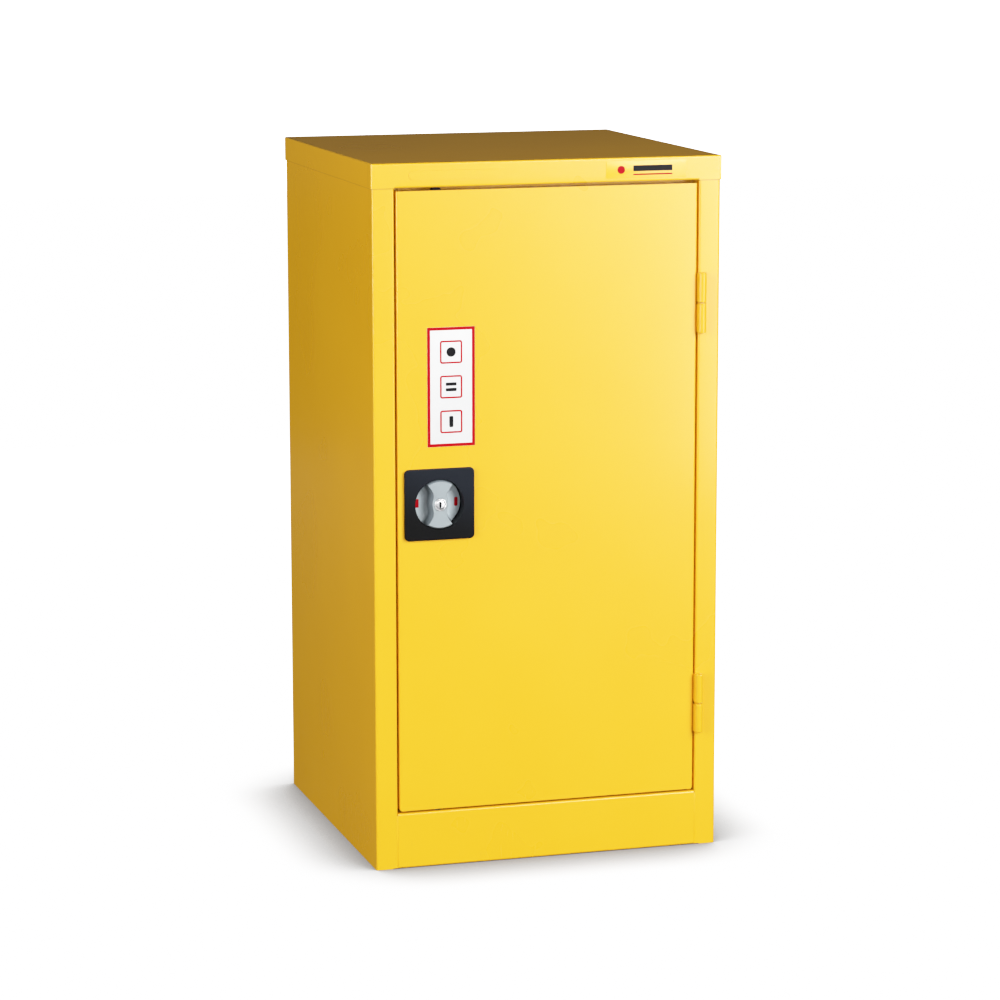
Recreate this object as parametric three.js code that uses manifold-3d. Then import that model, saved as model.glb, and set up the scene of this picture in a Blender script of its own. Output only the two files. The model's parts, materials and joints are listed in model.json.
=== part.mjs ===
// Single-door steel cabinet for flammable liquids.
//
// Millimetres, +Z up. X runs across the front, to the right as you face the door. Y runs from the
// front to the back. The origin is on the floor, at the centre of the overall footprint.
//
// Inside the group "cabinet", y = 0 is the front face of the top cap.

import * as THREE from "three";
import { mergeVertices } from "three/addons/utils/BufferGeometryUtils.js";
import Module from "manifold-3d";

const wasm = await Module();
wasm.setup();

// ------------------------------------------------------------------ driving dimensions

// Carcass
const width = 460;
const depth = 460;
const height = 900;
const sheet = 1.2; // steel sheet
const bendRadius = 1.4; // inside radius of a fold
const gap = 0.3; // air between two pieces that meet
const capRim = 31;
const beadInset = 54; // a raised bead is pressed into the left of the cap's front rim
const beadLength = 118; // between the centres of its round ends
const beadRadius = 5.5;
const beadHeight = 0.7;
const stileWidth = 30;
const railHeight = 72;
const footFlange = 25;
const railFootSetback = 2.4; // the rail's foot ends this far in front of its lip
const reliefWidth = 7; // notch at the foot of each stile, beside the rail
const reliefHeight = 0.8;
const rearFlange = 15;
const stopFlange = 12;
const stiffLip = 20; // closing lip of the header and of the rail
const topStopReturn = 12; // stiffening leg of the door stop under the header

// Door
const doorDepth = 22;
const doorFlange = 14;
const latchSideGap = 2.5;
const doorTopGap = 4;
const doorBottomGap = 3;
const cornerRelief = 2.5;
const bufferHeight = 6.5;
const bufferRadius = 5;
const upperBufferDrop = 140; // from the top of the cabinet
const lowerBufferRise = 110; // from the top of the rail

// Hinges
const upperHingeDrop = 156; // from the cap's lower edge to the middle of the hinge
const lowerHingeRise = 118.3; // from the rail's top to the middle of the hinge
const hingeLength = 77.5;
const barrelRadius = 5.25;
const barrelChamfer = 1;
const hingePinRadius = 3;
const leafThickness = 1.6;
const leafDepth = 20;
const hingeWasher = 0.8;

// Shelf, its uprights and clips
const uprightWidth = 24;
const uprightDepth = 10;
const frontUprightY = 62;
const rearUprightY = 405;
const slotPitch = 50;
const slotHeight = 12;
const slotWidth = 4;
const shelfSlot = 8; // the clips hang in this slot, counted from the lowest
const shelfWall = 28;
const shelfFrontY = 48;
const shelfRearGap = 12;
const clipThickness = 1.5;
const clipLedge = 12;
const clipWidth = 16;
const clipRise = 10; // of its plate, above the ledge
const clipDrop = 12;
const hookDrop = 14;
const armHalfHeight = 3;

// Sump
const sumpFloor = 20;
const sumpWall = 48;

// Lock
const lockX = -144;
const lockZ = 470.5;
const plateSize = 91;
const plateThickness = 4;
const plateCorner = 6;
const cupRadius = 32;
const cupWall = 4.3;
const cupFloor = 3;
const knobClearance = 0.8;
const knobFloorY = 12; // depths inside the lock are measured back from the door's face
const knobBase = 5;
const barProud = 2.7; // how far the grip stands in front of the plate
const sleeveRadius = 7.8;
const plugRadius = 6.1;
const plugPinRadius = 1.25;
const plugPinOffset = 3;
const lockBoltThickness = 2.5;
const lockBoltWidth = 8;
const studRadius = 2.5;
const studOffset = 14;
const camThickness = 3;
const driveSquare = 14;
const camScrewRadius = 2.5;
const cutoutClear = 2; // the door's square cut-out is this much wider than the cup, each way
const clampWall = 5.4; // metal left round the cup's hole
const clampThickness = 1.5;
const clampScrewOffset = 36;
const clampScrewRadius = 1.7;

// Locking rods
const rodRadius = 4;
const rodTipClearance = 1;
const yokeThickness = 2.5;
const lap = 0.6; // how far joined lengths of one rod run into each other
const keepThickness = 3;
const keepHalf = 22;
const keepSetback = 2; // the keeps stay this far inside the door's depth
const rodClear = 1.2; // round a rod, where it passes through sheet
const guideClear = 2.2; // round a rod, in the hole that holds its guide
const guideWall = 1.6;
const guideCollar = 7.5; // radius of the guide's two collars
const guideHead = 2; // how far the guide stands out of the door's edge
const guideTail = 4.5; // and how far it reaches in

// Labels
const labelThickness = 0.25;
const labelAir = 0.1;

// ------------------------------------------------------------------ derived places

const faceY = sheet + gap; // front face of the stiles, the rail and the door
const panelX = width / 2 - sheet - gap; // outer face of the side panels
const rearY = depth - sheet - gap; // outer face of the rear flanges
const openHalf = width / 2 - stileWidth; // half the door opening
const capUnder = height - capRim;
const carcassTop = height - sheet - bendRadius - gap; // clear of the cap's inside fold
const stopY = faceY + doorDepth + bufferHeight + gap;
const foldSize = bendRadius + sheet;
const innerX = panelX - sheet - gap; // what stands inside the side panels reaches this far
const backPanelY = rearY - sheet - gap; // rear face of the back panel

const hingeHeights = { upper: capUnder - upperHingeDrop, lower: railHeight + lowerHingeRise };
const leafX = openHalf - gap - leafThickness; // face of the hinge leaves towards the door
const doorLeft = -openHalf + latchSideGap;
const doorRight = leafX - gap;
const doorTop = capUnder - doorTopGap;
const doorBottom = railHeight + doorBottomGap;
const hingeAxisX = leafX + barrelRadius;
const hingeAxisY = faceY - gap - barrelRadius;
const frontProjection = barrelRadius - hingeAxisY;

const rodY = doorDepth / 2; // behind the door's face, where the rod leaves the door
const knobRadius = cupRadius - knobClearance;
const cupOuter = cupRadius + cupWall;
const cutoutHalf = cupOuter + cutoutClear;
const plateFrontY = -gap - plateThickness;
const barFrontY = plateFrontY - barProud;
const knobBackY = knobFloorY + knobBase;
const lockBoltY = knobBackY + gap;
const cupFloorY = lockBoltY + lockBoltThickness + 2 * gap;
const camY = cupFloorY + cupFloor + gap;
const washerY = camY + camThickness + gap;
const washerThickness = 1.2;
const screwHeadY = washerY + washerThickness + gap;
const screwHeadHeight = 3.5;
const yokeY = screwHeadY + screwHeadHeight + 0.5;
const studClipY = yokeY + yokeThickness + gap;
const studClipThickness = 1;

// A stud swings 45 degrees either side of level, so its height follows the handle's angle
// closely enough for a rod to follow at a constant ratio with a little play in the slot.
const halfSwing = Math.PI / 4;
const rodTravel = 2 * studOffset * Math.sin(halfSwing);
const rodPlay = 0.6;
const lockBoltTravel = 2 * plugPinOffset * Math.sin(halfSwing);

// ------------------------------------------------------------------ solids

const axes = {
  x: [new THREE.Vector3(0, 1, 0), new THREE.Vector3(0, 0, 1), new THREE.Vector3(1, 0, 0)],
  y: [new THREE.Vector3(1, 0, 0), new THREE.Vector3(0, 0, 1), new THREE.Vector3(0, -1, 0)],
  z: [new THREE.Vector3(1, 0, 0), new THREE.Vector3(0, 1, 0), new THREE.Vector3(0, 0, 1)],
};

function solidOf(geometry) {
  const bare = geometry.clone();
  bare.deleteAttribute("normal");
  bare.deleteAttribute("uv");
  const merged = mergeVertices(bare, 1e-4);
  return new wasm.Manifold(
    new wasm.Mesh({
      numProp: 3,
      vertProperties: merged.attributes.position.array,
      triVerts: new Uint32Array(merged.index.array),
    }),
  );
}

function geometryOf(solid) {
  const { vertProperties, triVerts } = solid.getMesh();
  const geometry = new THREE.BufferGeometry();
  geometry.setAttribute("position", new THREE.BufferAttribute(vertProperties, 3));
  geometry.setIndex(new THREE.BufferAttribute(triVerts, 1));
  geometry.computeVertexNormals();
  return geometry;
}

// A shape swept along an axis. Across x it is drawn in (y, z), across y in (x, z), across z in (x, y).
function extrude(shape, axis, from, to, curveSegments = 6) {
  const geometry = new THREE.ExtrudeGeometry(shape, {
    depth: to - from,
    bevelEnabled: false,
    curveSegments,
  });
  geometry.applyMatrix4(new THREE.Matrix4().makeBasis(...axes[axis]));
  const start = { x: [from, 0, 0], y: [0, to, 0], z: [0, 0, from] }[axis];
  return solidOf(geometry.translate(...start));
}

function block(x0, x1, y0, y1, z0, z1) {
  const geometry = new THREE.BoxGeometry(x1 - x0, y1 - y0, z1 - z0);
  return solidOf(geometry.translate((x0 + x1) / 2, (y0 + y1) / 2, (z0 + z1) / 2));
}

// A round bar along y or z through (a, b), which are its other two coordinates in order.
function bar(axis, a, b, radius, from, to, segments = 24) {
  const geometry = new THREE.CylinderGeometry(radius, radius, to - from, segments);
  if (axis === "z") {
    geometry.rotateX(Math.PI / 2).translate(a, b, (from + to) / 2);
  } else {
    geometry.translate(a, (from + to) / 2, b);
  }
  return solidOf(geometry);
}

// A solid turned about a z axis through (a, b), from [radius, z] points.
function turned(points, a, b, segments = 24) {
  const profile = points.map(([r, z]) => new THREE.Vector2(r, z));
  const geometry = new THREE.LatheGeometry(profile, segments);
  return solidOf(geometry.rotateX(Math.PI / 2).translate(a, b, 0));
}

// The low and high x of a piece that reaches from inner to outer on one side, -1 or 1.
function spanAt(side, inner, outer) {
  return side < 0 ? [-outer, -inner] : [inner, outer];
}

function join(first, ...others) {
  return others.reduce((sum, solid) => sum.add(solid), first);
}

function cut(first, ...others) {
  return others.reduce((rest, solid) => rest.subtract(solid), first);
}

// ------------------------------------------------------------------ outlines

// The section of a bent sheet. The corners lie on one face, and the thickness is to the left of
// the way they run, or to the right where it is negative.
function foldedSheet(corners, thickness = sheet, steps = 4) {
  const path = corners.map(([u, v]) => new THREE.Vector2(u, v));
  const centre = new THREE.Vector2();
  const near = [];
  const far = [];
  const put = (point, normal) => {
    near.push(point.clone());
    far.push(point.clone().addScaledVector(normal, thickness));
  };
  const leftOf = (direction) => new THREE.Vector2(-direction.y, direction.x);
  const towards = (i) => path[i + 1].clone().sub(path[i]).normalize();

  put(path[0], leftOf(towards(0)));
  for (let i = 1; i < path.length - 1; i++) {
    const before = towards(i - 1);
    const after = towards(i);
    const turn = Math.atan2(before.cross(after), before.dot(after));
    const side = Math.sign(turn);
    const radius = side * thickness > 0 ? bendRadius + Math.abs(thickness) : bendRadius;
    const normal = leftOf(before);
    const start = path[i].clone().addScaledVector(before, -radius * Math.tan(Math.abs(turn) / 2));
    for (let k = 0; k <= steps; k++) {
      const turnedNormal = normal.clone().rotateAround(centre, (turn * k) / steps);
      const point = start.clone().addScaledVector(normal, side * radius);
      put(point.addScaledVector(turnedNormal, -side * radius), turnedNormal);
    }
  }
  const last = path.length - 1;
  put(path[last], leftOf(towards(last - 1)));
  return new THREE.Shape([...near, ...far.reverse()]);
}

// A rectangle whose corners are rounded by radii in the order bottom left, bottom right,
// top right, top left.
function roundedRectangle(u0, u1, v0, v1, radii) {
  const [bottomLeft, bottomRight, topRight, topLeft] = radii;
  const shape = new THREE.Shape();
  const corner = (u, v, radius, start) => {
    if (radius) shape.absarc(u, v, radius, start, start + Math.PI / 2, false);
    else shape.lineTo(u, v);
  };
  shape.moveTo(u0 + bottomLeft, v0);
  corner(u1 - bottomRight, v0 + bottomRight, bottomRight, -Math.PI / 2);
  corner(u1 - topRight, v1 - topRight, topRight, 0);
  corner(u0 + topLeft, v1 - topLeft, topLeft, Math.PI / 2);
  if (bottomLeft) corner(u0 + bottomLeft, v0 + bottomLeft, bottomLeft, Math.PI);
  return shape;
}

function circle(u, v, radius) {
  const shape = new THREE.Shape();
  shape.absarc(u, v, radius, 0, 2 * Math.PI, false);
  return shape;
}

// A slot or bead with round ends, between two centres.
function stadium(u0, v0, u1, v1, radius) {
  const angle = Math.atan2(v1 - v0, u1 - u0);
  const shape = new THREE.Shape();
  shape.absarc(u1, v1, radius, angle - Math.PI / 2, angle + Math.PI / 2, false);
  shape.absarc(u0, v0, radius, angle + Math.PI / 2, angle + (3 * Math.PI) / 2, false);
  return shape;
}

// A block that is rounded where its sheet folds: at its top edges and its upright corners.
function domedBlock(x0, x1, y0, y1, z0, z1, radius) {
  const fold = [0, 0, radius, radius];
  const all = [radius, radius, radius, radius];
  return extrude(roundedRectangle(x0, x1, z0, z1, fold), "y", y0, y1)
    .intersect(extrude(roundedRectangle(y0, y1, z0, z1, fold), "x", x0, x1))
    .intersect(extrude(roundedRectangle(x0, x1, y0, y1, all), "z", z0, z1));
}

// An open tray of folded sheet, standing on its floor.
function tray(x0, x1, y0, y1, z0, z1) {
  const shell = (inset, radius, top) => {
    const fold = [radius, radius, 0, 0];
    const all = [radius, radius, radius, radius];
    const [u0, u1] = [x0 + inset, x1 - inset];
    const [v0, v1] = [y0 + inset, y1 - inset];
    return extrude(roundedRectangle(u0, u1, z0 + inset, top, fold), "y", v0, v1)
      .intersect(extrude(roundedRectangle(v0, v1, z0 + inset, top, fold), "x", u0, u1))
      .intersect(extrude(roundedRectangle(u0, u1, v0, v1, all), "z", z0, top));
  };
  return shell(0, foldSize, z1).subtract(shell(sheet, bendRadius, z1 + 1));
}

// ------------------------------------------------------------------ carcass

// Top, rims on four sides, and a folded header over the door with a hole for the upper rod.
function topCap() {
  const [left, right] = [-width / 2, width / 2];
  const span = openHalf - gap;
  const shell = cut(
    domedBlock(left, right, 0, depth, capUnder, height, foldSize),
    domedBlock(
      left + sheet, right - sheet, sheet, depth - sheet, capUnder - 1, height - sheet, bendRadius,
    ),
  );
  const headerBack = stopY - bendRadius;
  const header = foldedSheet([
    [0, capUnder + 2 * foldSize],
    [0, capUnder],
    [headerBack, capUnder],
    [headerBack, capUnder + stiffLip],
  ]);
  const beadLeft = -width / 2 + beadInset;
  const beadZ = capUnder + capRim / 2;
  return join(
    shell.subtract(block(-span, span, -1, sheet, capUnder - 1, capUnder + foldSize)),
    extrude(header, "x", -span, span),
    extrude(
      stadium(beadLeft, beadZ, beadLeft + beadLength, beadZ, beadRadius),
      "y", -beadHeight, sheet / 2,
    ),
  ).subtract(rodHole(capUnder - 1, capUnder + 2 * sheet));
}

function rodHole(z0, z1) {
  return bar("z", lockX, faceY + rodY, rodRadius + rodClear, z0, z1);
}

// Side, front stile, return into the opening and door stop in one fold; side is -1 or 1.
function sidePanel(side) {
  const section = foldedSheet(
    [
      [side * (panelX - rearFlange), rearY],
      [side * panelX, rearY],
      [side * panelX, faceY],
      [side * openHalf, faceY],
      [side * openHalf, stopY],
      [side * (openHalf - stopFlange), stopY],
    ],
    -side * sheet,
  );
  const [notchInner, notchOuter] = spanAt(side, openHalf - 1, openHalf + reliefWidth);
  const notch = block(notchInner, notchOuter, 0, faceY + 2 * sheet, -1, reliefHeight);
  return extrude(section, "z", 0, carcassTop).subtract(notch);
}

// Angle welded behind the header's lip. The door shuts in front of it, between the side stops.
function topDoorStop() {
  const face = stopY - bendRadius + gap;
  const section = foldedSheet([
    [face, capUnder + stiffLip],
    [face, capUnder - stopFlange],
    [face + topStopReturn, capUnder - stopFlange],
  ]);
  const half = openHalf - stopFlange - gap;
  return extrude(section, "x", -half, half);
}

// Channel along the foot of a side panel: it stands on the floor and carries the sump.
function baseRunner(side) {
  const top = sumpFloor - gap;
  const section = foldedSheet(
    [
      [side * (innerX - footFlange), 0],
      [side * innerX, 0],
      [side * innerX, top],
      [side * (innerX - footFlange), top],
    ],
    side * sheet,
  );
  return extrude(section, "y", stopY + sheet + gap, backPanelY - sheet - gap);
}

function backPanel() {
  const half = panelX - sheet - bendRadius - gap;
  return block(-half, half, backPanelY - sheet, backPanelY, 0, carcassTop);
}

// Kick rail below the door: foot, face, ledge and lip.
function bottomRail() {
  const ledgeBack = stopY - bendRadius;
  const section = foldedSheet(
    [
      [ledgeBack - railFootSetback, 0],
      [faceY, 0],
      [faceY, railHeight],
      [ledgeBack, railHeight],
      [ledgeBack, railHeight - stiffLip],
    ],
    -sheet,
  );
  const span = openHalf - gap;
  return extrude(section, "x", -span, span).subtract(
    rodHole(railHeight - 2 * sheet, railHeight + 1),
  );
}

function sumpPan() {
  const front = stopY + sheet + gap;
  const back = backPanelY - sheet - gap;
  return tray(-innerX, innerX, front, back, sumpFloor, sumpFloor + sumpWall);
}

// Steel plate behind the header or under the ledge that a thrown rod enters.
function keep(z0) {
  const halfWidth = doorDepth / 2 - keepSetback;
  const y = faceY + rodY;
  return cut(
    block(lockX - keepHalf, lockX + keepHalf, y - halfWidth, y + halfWidth, z0, z0 + keepThickness),
    bar("z", lockX, y, rodRadius + 2 * gap, z0 - 1, z0 + keepThickness + 1),
  );
}

function doorBuffer(z) {
  const profile = [
    [0, 0],
    [bufferRadius, 0],
    [bufferRadius, bufferHeight * 0.5],
    [bufferRadius * 0.8, bufferHeight * 0.9],
    [bufferRadius * 0.4, bufferHeight],
    [0, bufferHeight],
  ].map(([r, y]) => new THREE.Vector2(r, y));
  const geometry = new THREE.LatheGeometry(profile, 20).rotateX(Math.PI);
  return solidOf(geometry.translate(-openHalf + stopFlange / 2, stopY - gap, z));
}

// ------------------------------------------------------------------ shelf and its supports

const uprightFaceX = innerX - uprightDepth;
const firstSlotZ = railHeight + slotPitch;
const shelfRestZ = firstSlotZ + shelfSlot * slotPitch;

function upright(side, y) {
  const half = uprightWidth / 2;
  const section = foldedSheet(
    [
      [side * innerX, y - half],
      [side * uprightFaceX, y - half],
      [side * uprightFaceX, y + half],
      [side * innerX, y + half],
    ],
    -side * sheet,
    2,
  );
  const top = capUnder - gap;
  let channel = extrude(section, "z", railHeight, top);
  const [slotInner, slotOuter] = spanAt(side, uprightFaceX - 1, uprightFaceX + 2 * sheet);
  for (let z = firstSlotZ; z + slotHeight < top; z += slotPitch) {
    channel = channel.subtract(
      block(
        slotInner, slotOuter, y - slotWidth / 2, y + slotWidth / 2,
        z - slotHeight / 2, z + slotHeight / 2,
      ),
    );
  }
  return channel;
}

// Clip with a ledge for the shelf and a hook that hangs in one slot of its upright.
function shelfClip(side, y) {
  const face = uprightFaceX - gap;
  const hookFace = uprightFaceX + sheet + gap;
  const [plate0, plate1] = spanAt(side, face - clipThickness, face);
  const [ledge0, ledge1] = spanAt(side, face - clipLedge, face);
  const [arm0, arm1] = spanAt(side, face - clipThickness / 2, hookFace + clipThickness);
  const [hook0, hook1] = spanAt(side, hookFace, hookFace + clipThickness);
  const ledgeTop = shelfRestZ - gap;
  const half = clipWidth / 2;
  const armHalf = slotWidth / 2 - gap;
  const armTop = shelfRestZ + armHalfHeight;
  return join(
    block(plate0, plate1, y - half, y + half, ledgeTop - clipDrop, ledgeTop + clipRise),
    block(ledge0, ledge1, y - half, y + half, ledgeTop - clipThickness, ledgeTop),
    block(arm0, arm1, y - armHalf, y + armHalf, shelfRestZ - armHalfHeight, armTop),
    block(hook0, hook1, y - armHalf, y + armHalf, shelfRestZ - hookDrop, armTop),
  );
}

const shelfHalf = uprightFaceX - gap - clipThickness - 1;
const shelfBackY = backPanelY - sheet - shelfRearGap;

function shelfTray() {
  return tray(-shelfHalf, shelfHalf, shelfFrontY, shelfBackY, shelfRestZ, shelfRestZ + shelfWall);
}

// Hat section welded under the shelf, between the clips.
function shelfStiffener() {
  const middle = (shelfFrontY + shelfBackY) / 2;
  const [foot, web, drop] = [14, 22, 16];
  const top = shelfRestZ - gap;
  const section = foldedSheet(
    [
      [middle - web - foot, top],
      [middle - web, top],
      [middle - web, top - drop],
      [middle + web, top - drop],
      [middle + web, top],
      [middle + web + foot, top],
    ],
    -sheet,
    2,
  );
  const reach = shelfHalf - clipLedge - 4;
  return extrude(section, "x", -reach, reach);
}

// ------------------------------------------------------------------ door

// Face of the door with its long edges folded back and in, cut out square for the lock.
function doorSkin() {
  const backY = faceY + doorDepth;
  const section = foldedSheet(
    [
      [doorRight - doorFlange, backY],
      [doorRight, backY],
      [doorRight, faceY],
      [doorLeft, faceY],
      [doorLeft, backY],
      [doorLeft + doorFlange, backY],
    ],
    -sheet,
  );
  const relief = (x) => {
    const size = cornerRelief * Math.SQRT2;
    const diamond = new THREE.BoxGeometry(size, 4 * doorDepth, size).rotateY(Math.PI / 4);
    return solidOf(diamond.translate(x, faceY, doorBottom));
  };
  return cut(
    extrude(section, "z", doorBottom, doorTop),
    relief(doorLeft),
    relief(doorRight),
    block(
      lockX - cutoutHalf, lockX + cutoutHalf, faceY - 1, faceY + 2 * sheet,
      lockZ - cutoutHalf, lockZ + cutoutHalf,
    ),
  );
}

// Channel welded into one end of the door: z is the door's edge, and inward is the way, 1 or -1,
// that its two flanges run.
function doorEndChannel(z, inward) {
  const front = faceY + sheet + gap;
  const back = faceY + doorDepth - sheet - gap;
  const section = foldedSheet(
    [
      [front, z + inward * doorFlange],
      [front, z],
      [back, z],
      [back, z + inward * doorFlange],
    ],
    inward * sheet,
  );
  const inset = foldSize + gap;
  return extrude(section, "x", doorLeft + inset, doorRight - inset).subtract(
    bar("z", lockX, faceY + rodY, rodRadius + guideClear, z - 2 * sheet, z + 2 * sheet),
  );
}

// Hat section welded up the inside of the door's face.
function doorStiffener() {
  const [centre, foot, web] = [24, 16, 26];
  const front = faceY + sheet + gap;
  const back = faceY + doorDepth - 5;
  const section = foldedSheet(
    [
      [centre - web - foot, front],
      [centre - web, front],
      [centre - web, back],
      [centre + web, back],
      [centre + web, front],
      [centre + web + foot, front],
    ],
    sheet,
    2,
  );
  return extrude(section, "z", doorBottom + doorFlange + 6, doorTop - doorFlange - 6);
}

// Nylon bush that the rod slides through, pointing up at its own origin on the door's edge.
function rodGuide() {
  const bore = rodRadius + gap;
  const sleeve = bore + guideWall;
  return turned(
    [
      [bore, -guideTail],
      [guideCollar, -guideTail],
      [guideCollar, -sheet - gap],
      [sleeve, -sheet - gap],
      [sleeve, gap],
      [guideCollar, gap],
      [guideCollar - guideWall, guideHead],
      [bore, guideHead],
      [bore, -guideTail],
    ],
    0,
    0,
  );
}

// ------------------------------------------------------------------ hinges

const knuckleGap = hingeWasher + 2 * gap;
const knuckleLength = (hingeLength - knuckleGap) / 2;

// One half of a hinge: the rolled barrel and its leaf, from z0 up.
function hingeHalf(z0) {
  const z1 = z0 + knuckleLength;
  const bore = hingePinRadius + gap;
  const barrel = turned(
    [
      [bore, z0],
      [barrelRadius - barrelChamfer, z0],
      [barrelRadius, z0 + barrelChamfer],
      [barrelRadius, z1 - barrelChamfer],
      [barrelRadius - barrelChamfer, z1],
      [bore, z1],
      [bore, z0],
    ],
    hingeAxisX,
    hingeAxisY,
  );
  const leaf = block(
    leafX, leafX + leafThickness, hingeAxisY, faceY + leafDepth,
    z0 + barrelChamfer, z1 - barrelChamfer,
  );
  const boreClear = bar("z", hingeAxisX, hingeAxisY, bore, z0 - 1, z1 + 1);
  return barrel.add(leaf.subtract(boreClear));
}

function hingePin(z) {
  const half = hingeLength / 2 - 1.5;
  return turned(
    [
      [0, z - half],
      [hingePinRadius - 0.6, z - half],
      [hingePinRadius, z - half + 0.6],
      [hingePinRadius, z + half - 0.6],
      [hingePinRadius - 0.6, z + half],
      [0, z + half],
    ],
    hingeAxisX,
    hingeAxisY,
    20,
  );
}

function washerRing(z) {
  const half = hingeWasher / 2;
  return cut(
    bar("z", hingeAxisX, hingeAxisY, barrelRadius - 0.2, z - half, z + half),
    bar("z", hingeAxisX, hingeAxisY, hingePinRadius + gap, z - 1, z + 1),
  );
}

// ------------------------------------------------------------------ lock
//
// Lock parts are built round the lock's own axis: x and z from the spindle, y from the door's face.

function clampScrewPlaces(cx = lockX, cz = lockZ) {
  const places = [];
  for (const i of [-1, 1]) {
    for (const k of [-1, 1]) places.push([cx + i * clampScrewOffset, cz + k * clampScrewOffset]);
  }
  return places;
}

// Square plate and the cup behind it, with two notches that the lock bolt can enter.
function escutcheon() {
  const bevel = 1.4;
  const half = plateSize / 2 - bevel;
  const corner = plateCorner - bevel;
  const outline = roundedRectangle(-half, half, -half, half, [corner, corner, corner, corner]);
  const plate = new THREE.ExtrudeGeometry(outline, {
    depth: plateThickness - bevel,
    bevelThickness: bevel,
    bevelSize: bevel,
    bevelSegments: 2,
    curveSegments: 4,
  });
  const flatBack = block(-plateSize, plateSize, -gap, cupFloorY, -plateSize, plateSize);
  plate.applyMatrix4(new THREE.Matrix4().makeBasis(...axes.y)).translate(0, -gap, 0);
  const notchReach = knobRadius + lockBoltTravel + gap;
  const notchHalf = lockBoltWidth / 2 + gap;
  const [notchFront, notchBack] = [lockBoltY - gap, cupFloorY];
  return cut(
    join(
      solidOf(plate).subtract(flatBack),
      bar("y", 0, 0, cupOuter, -gap - 1, cupFloorY + cupFloor, 48),
    ),
    bar("y", 0, 0, cupRadius, plateFrontY - 1, cupFloorY, 48),
    bar("y", 0, 0, bossRadius + gap, cupFloorY - 1, cupFloorY + cupFloor + 1, 32),
    block(-notchHalf, notchHalf, notchFront, notchBack, 0, notchReach),
    block(0, notchReach, notchFront, notchBack, -notchHalf, notchHalf),
    ...clampScrewPlaces(0, 0).map(([x, z]) =>
      bar("y", x, z, clampScrewRadius + gap, -gap - 2.5, 1, 12),
    ),
  );
}

// Outline of the grip: round ends, a waist either side of the key cylinder and a swell at it.
function gripOutline() {
  const radius = knobRadius - 0.4;
  const cornerX = 15.5;
  const cornerZ = Math.sqrt(radius ** 2 - cornerX ** 2);
  const [waistX, waistZ, swellX] = [8.5, 12.5, 11.2];
  const flareZ = cornerZ - 6; // the sides start to spread towards the corners here
  const endAngle = Math.atan2(cornerX, cornerZ);
  const shape = new THREE.Shape();
  shape.moveTo(cornerX, -cornerZ);
  shape.quadraticCurveTo(waistX, -flareZ, waistX, -waistZ);
  shape.quadraticCurveTo(waistX, -waistZ / 2, swellX, 0);
  shape.quadraticCurveTo(waistX, waistZ / 2, waistX, waistZ);
  shape.quadraticCurveTo(waistX, flareZ, cornerX, cornerZ);
  shape.absarc(0, 0, radius, Math.PI / 2 - endAngle, Math.PI / 2 + endAngle, false);
  shape.quadraticCurveTo(-waistX, flareZ, -waistX, waistZ);
  shape.quadraticCurveTo(-waistX, waistZ / 2, -swellX, 0);
  shape.quadraticCurveTo(-waistX, -waistZ / 2, -waistX, -waistZ);
  shape.quadraticCurveTo(-waistX, -flareZ, -cornerX, -cornerZ);
  shape.absarc(0, 0, radius, (3 * Math.PI) / 2 - endAngle, (3 * Math.PI) / 2 + endAngle, false);
  return shape;
}

const bossRadius = 11.5;
const bossCavity = 9.4;
const cavityFrontY = knobFloorY + 1;
const cavityBackY = lockBoltY + lockBoltThickness + gap;
const driveEndY = camY + camThickness - gap;

function turnHandle() {
  const half = driveSquare / 2;
  const slotHalf = lockBoltWidth / 2 + gap;
  return cut(
    join(
      extrude(gripOutline(), "y", barFrontY, knobFloorY + 1, 5),
      bar("y", 0, 0, knobRadius, knobFloorY, knobBackY, 48),
      bar("y", 0, 0, bossRadius, knobBackY - 1, camY - gap, 32),
      block(-half, half, camY - 2 * gap, driveEndY, -half, half),
    ),
    bar("y", 0, 0, sleeveRadius + gap, barFrontY - 1, cavityFrontY + 0.5, 32),
    bar("y", 0, 0, bossCavity, cavityFrontY, cavityBackY, 32),
    block(-slotHalf, slotHalf, knobBackY, cavityBackY, 0, 2 * bossRadius),
    bar("y", 0, 0, camScrewRadius + gap, cavityBackY + 1.4, driveEndY + 1, 20),
  );
}

function indicator() {
  const [halfWidth, halfHeight] = [2.2, 5.6];
  return extrude(
    roundedRectangle(-halfWidth, halfWidth, -halfHeight, halfHeight, [1, 1, 1, 1]),
    "y", knobFloorY - labelAir - labelThickness, knobFloorY - labelAir, 3,
  );
}

const sleeveFrontY = barFrontY - 0.6;
const sleeveBackY = cavityFrontY - gap;

function cylinderSleeve() {
  return cut(
    bar("y", 0, 0, sleeveRadius, sleeveFrontY, sleeveBackY, 32),
    bar("y", 0, 0, plugRadius + gap, sleeveFrontY - 1, sleeveBackY + 1, 32),
  );
}

// Plug with its keyway in front and the eccentric pin that works the lock bolt behind.
function keyPlug() {
  const pinX = plugPinOffset * Math.cos(halfSwing);
  const pinZ = -plugPinOffset * Math.sin(halfSwing);
  const [keywayHalfWidth, keywayHalfHeight, keywayDepth] = [0.9, 3.6, 6];
  return cut(
    join(
      bar("y", 0, 0, plugRadius, sleeveFrontY + 0.2, lockBoltY - gap, 32),
      bar("y", pinX, pinZ, plugPinRadius, lockBoltY - 1, cavityBackY - gap / 2, 16),
    ),
    block(
      -keywayHalfWidth, keywayHalfWidth, sleeveFrontY - 1, sleeveFrontY + keywayDepth,
      -keywayHalfHeight, keywayHalfHeight,
    ),
  );
}

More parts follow.
